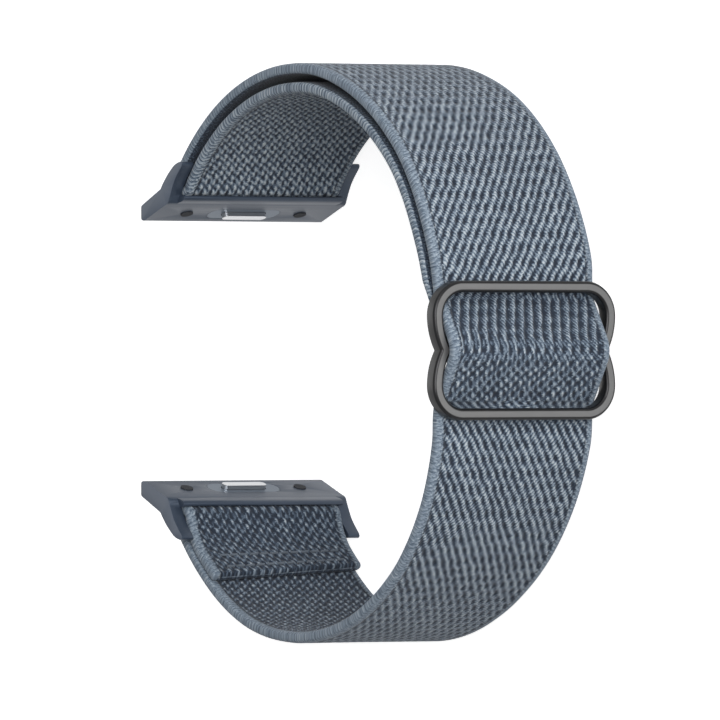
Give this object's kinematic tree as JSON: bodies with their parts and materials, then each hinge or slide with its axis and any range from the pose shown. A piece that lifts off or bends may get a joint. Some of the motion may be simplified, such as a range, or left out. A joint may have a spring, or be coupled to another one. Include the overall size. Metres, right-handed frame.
{
  "type": "nylon watch strap",
  "caption": "Elastic woven nylon watch strap in a closed loop, folded round a metal slider and two lug adapters that swing and carry sprung catches.",
  "frame": {"origin": "on the surface that the strap stands on, under the middle of its bounding box", "axes": "+Z runs across the strap from edge to edge, +Y from the slider to the bay between the lugs, and +X from the lower lug to the upper lug"},
  "size_m": [0.0802, 0.0796, 0.0295],
  "materials": {
    "webbing": "elastic nylon weave, slate blue",
    "thread": "dark slate polyester thread",
    "lug_metal": "satin anodised, slate blue",
    "slider_metal": "dark gunmetal plating, satin",
    "spring_steel": "bright stainless",
    "catch_steel": "satin stainless",
    "pad_rubber": "matt"
  },
  "bodies": {
    "band": {"webbing_upper": "webbing", "webbing_lower": "webbing", "flap_stitching": "thread"},
    "slider": {"slider_frame": "slider_metal", "webbing_wave": "webbing", "webbing_end_loop": "webbing", "end_loop_stitching": "thread"},
    "upper_lug": {"upper_lug_body": "lug_metal", "upper_lug_spring": "spring_steel", "upper_lug_retainer": "lug_metal", "upper_lug_pads": "pad_rubber"},
    "upper_catch": {"upper_lug_catch": "catch_steel"},
    "lower_lug": {"lower_lug_body": "lug_metal", "lower_lug_spring": "spring_steel", "lower_lug_retainer": "lug_metal", "lower_lug_pads": "pad_rubber"},
    "lower_catch": {"lower_lug_catch": "catch_steel"}
  },
  "joints": [
    {"name": "slider_travel", "type": "hinge", "parent": "band", "child": "slider", "pos_m": [0, 0.00349, 0.01475], "axis": [0, 0, 1], "range_deg": [-20, 20], "deforming": ["webbing_wave", "webbing_end_loop", "end_loop_stitching"]},
    {"name": "upper_lug_swing", "type": "hinge", "parent": "band", "child": "upper_lug", "pos_m": [0.024, 0.03165, 0.01475], "axis": [0, 0, -1], "range_deg": [-20, 35]},
    {"name": "upper_catch_press", "type": "slide", "parent": "upper_lug", "child": "upper_catch", "axis": [0.9388, 0.3445, 0], "range_m": [0, 0.0005], "stiffness_N_per_m": 1500, "springref_m": -0.0003, "deforming": ["upper_lug_spring"]},
    {"name": "lower_lug_swing", "type": "hinge", "parent": "band", "child": "lower_lug", "pos_m": [-0.024, 0.03165, 0.01475], "axis": [0, 0, 1], "range_deg": [-20, 35]},
    {"name": "lower_catch_press", "type": "slide", "parent": "lower_lug", "child": "lower_catch", "axis": [-0.9388, 0.3445, 0], "range_m": [0, 0.0005], "stiffness_N_per_m": 1500, "springref_m": -0.0003, "deforming": ["lower_lug_spring"]}
  ]
}
